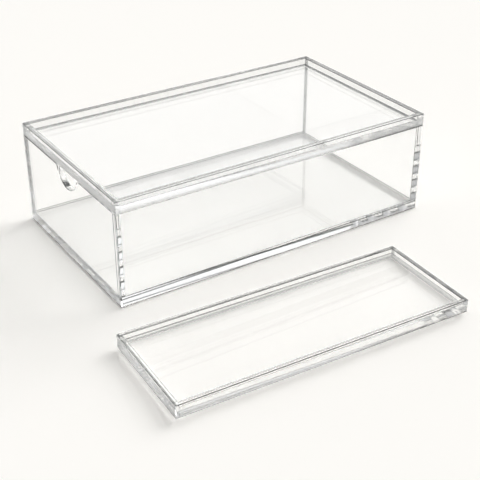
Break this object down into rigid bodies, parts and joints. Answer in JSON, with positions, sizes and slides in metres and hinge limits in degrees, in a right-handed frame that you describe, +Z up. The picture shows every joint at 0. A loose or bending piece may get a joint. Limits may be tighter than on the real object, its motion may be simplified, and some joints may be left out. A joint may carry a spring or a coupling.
{
  "type": "acrylic storage box with lid",
  "caption": "Clear oblong box of bonded sheet with a thumb notch at one end, a lift-off lid with a raised rim, and a smaller lid of the same make lying in front.",
  "frame": {"origin": "middle of the box's underside, on the surface that it stands on", "axes": "+X along the box's length, away from the thumb notch; +Y to the back of the box; +Z up"},
  "size_m": [0.266, 0.2596, 0.074],
  "materials": {
    "clear_acrylic": "clear, polished faces and edges"
  },
  "bodies": {
    "box": {"base_plate": "clear_acrylic", "front_wall": "clear_acrylic", "back_wall": "clear_acrylic", "left_wall": "clear_acrylic", "right_wall": "clear_acrylic"},
    "lid": {"lid_plate": "clear_acrylic", "lid_locator": "clear_acrylic", "lid_rim_front": "clear_acrylic", "lid_rim_back": "clear_acrylic", "lid_rim_left": "clear_acrylic", "lid_rim_right": "clear_acrylic"},
    "small_lid": {"small_lid_plate": "clear_acrylic", "small_lid_locator": "clear_acrylic", "small_lid_rim_front": "clear_acrylic", "small_lid_rim_back": "clear_acrylic", "small_lid_rim_left": "clear_acrylic", "small_lid_rim_right": "clear_acrylic"}
  },
  "joints": [
    {"name": "lid_lift", "type": "slide", "parent": "box", "child": "lid", "axis": [0, 0, 1], "range_m": [0, 0.1]},
    {"name": "small_lid_lift", "type": "slide", "parent": "box", "child": "small_lid", "axis": [0, 0, 1], "range_m": [0, 0.1]}
  ]
}
